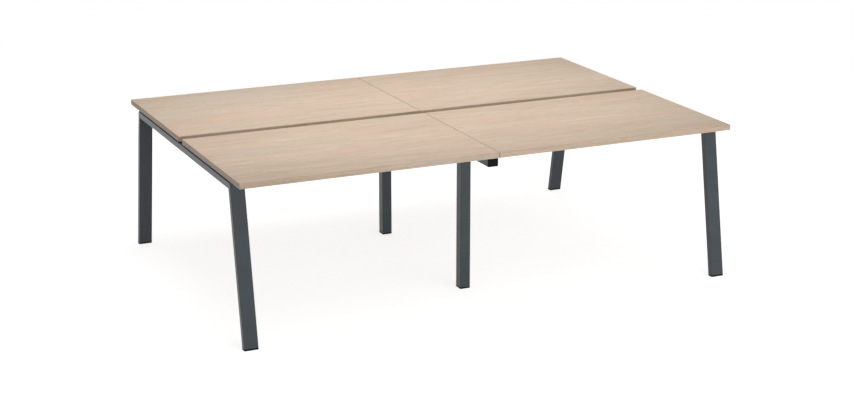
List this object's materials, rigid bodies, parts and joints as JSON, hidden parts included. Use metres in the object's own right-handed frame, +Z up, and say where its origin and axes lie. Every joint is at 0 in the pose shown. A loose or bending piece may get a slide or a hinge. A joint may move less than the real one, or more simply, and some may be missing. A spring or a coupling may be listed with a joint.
{
  "type": "bench desk",
  "caption": "Bench desk with wood-decor tops in facing rows, split by a cable gap, on a dark steel frame with splayed end legs, a straight middle frame and screw-down levelling feet.",
  "frame": {"origin": "on the floor, below the crossing of the seam between the bays and the gap between the rows", "axes": "+X along the rows to the right, +Y from the front row to the back row, +Z up"},
  "size_m": [2.402, 1.65, 0.74],
  "materials": {
    "laminate": "light oak decor, satin laminate on board",
    "edge_band": "light oak decor edging, satin",
    "frame_paint": "anthracite powder coat, fine texture",
    "black_plastic": "moulded, matt",
    "spacer_plastic": "moulded, matt",
    "zinc_steel": "zinc plated, satin"
  },
  "bodies": {
    "desk": {"beam_back_left": "frame_paint", "beam_back_right": "frame_paint", "beam_bracket_back_left_inner": "frame_paint", "beam_bracket_back_left_outer": "frame_paint", "beam_bracket_back_right_inner": "frame_paint", "beam_bracket_back_right_outer": "frame_paint", "beam_bracket_front_left_inner": "frame_paint", "beam_bracket_front_left_outer": "frame_paint", "beam_bracket_front_right_inner": "frame_paint", "beam_bracket_front_right_outer": "frame_paint", "beam_front_left": "frame_paint", "beam_front_right": "frame_paint", "beam_spacer_back_left": "spacer_plastic", "beam_spacer_back_right": "spacer_plastic", "beam_spacer_front_left": "spacer_plastic", "beam_spacer_front_right": "spacer_plastic", "crossbar_cap_back": "black_plastic", "crossbar_cap_front": "black_plastic", "edge_band_back_left": "edge_band", "edge_band_back_right": "edge_band", "edge_band_front_left": "edge_band", "edge_band_front_right": "edge_band", "end_crossbar_left": "frame_paint", "end_crossbar_right": "frame_paint", "end_leg_back_left": "frame_paint", "end_leg_back_right": "frame_paint", "end_leg_front_left": "frame_paint", "end_leg_front_right": "frame_paint", "end_spacer_back_left_far": "spacer_plastic", "end_spacer_back_left_near": "spacer_plastic", "end_spacer_back_right_far": "spacer_plastic", "end_spacer_back_right_near": "spacer_plastic", "end_spacer_front_left_far": "spacer_plastic", "end_spacer_front_left_near": "spacer_plastic", "end_spacer_front_right_far": "spacer_plastic", "end_spacer_front_right_near": "spacer_plastic", "foot_plug_back_left": "black_plastic", "foot_plug_back_middle": "black_plastic", "foot_plug_back_right": "black_plastic", "foot_plug_front_left": "black_plastic", "foot_plug_front_middle": "black_plastic", "foot_plug_front_right": "black_plastic", "middle_crossbar": "frame_paint", "middle_leg_back": "frame_paint", "middle_leg_front": "frame_paint", "middle_spacer_back_far": "spacer_plastic", "middle_spacer_back_near": "spacer_plastic", "middle_spacer_front_far": "spacer_plastic", "middle_spacer_front_near": "spacer_plastic", "top_back_left": "laminate", "top_back_right": "laminate", "top_front_left": "laminate", "top_front_right": "laminate"},
    "glide_back_left": {"levelling_glide_back_left": "zinc_steel"},
    "glide_back_middle": {"levelling_glide_back_middle": "zinc_steel"},
    "glide_back_right": {"levelling_glide_back_right": "zinc_steel"},
    "glide_front_left": {"levelling_glide_front_left": "zinc_steel"},
    "glide_front_middle": {"levelling_glide_front_middle": "zinc_steel"},
    "glide_front_right": {"levelling_glide_front_right": "zinc_steel"}
  },
  "joints": [
    {"name": "glide_back_left_screw_out", "type": "slide", "parent": "desk", "child": "glide_back_left", "axis": [0, 0, -1], "range_m": [0, 0.012]},
    {"name": "glide_back_middle_screw_out", "type": "slide", "parent": "desk", "child": "glide_back_middle", "axis": [0, 0, -1], "range_m": [0, 0.012]},
    {"name": "glide_back_right_screw_out", "type": "slide", "parent": "desk", "child": "glide_back_right", "axis": [0, 0, -1], "range_m": [0, 0.012]},
    {"name": "glide_front_left_screw_out", "type": "slide", "parent": "desk", "child": "glide_front_left", "axis": [0, 0, -1], "range_m": [0, 0.012]},
    {"name": "glide_front_middle_screw_out", "type": "slide", "parent": "desk", "child": "glide_front_middle", "axis": [0, 0, -1], "range_m": [0, 0.012]},
    {"name": "glide_front_right_screw_out", "type": "slide", "parent": "desk", "child": "glide_front_right", "axis": [0, 0, -1], "range_m": [0, 0.012]}
  ]
}
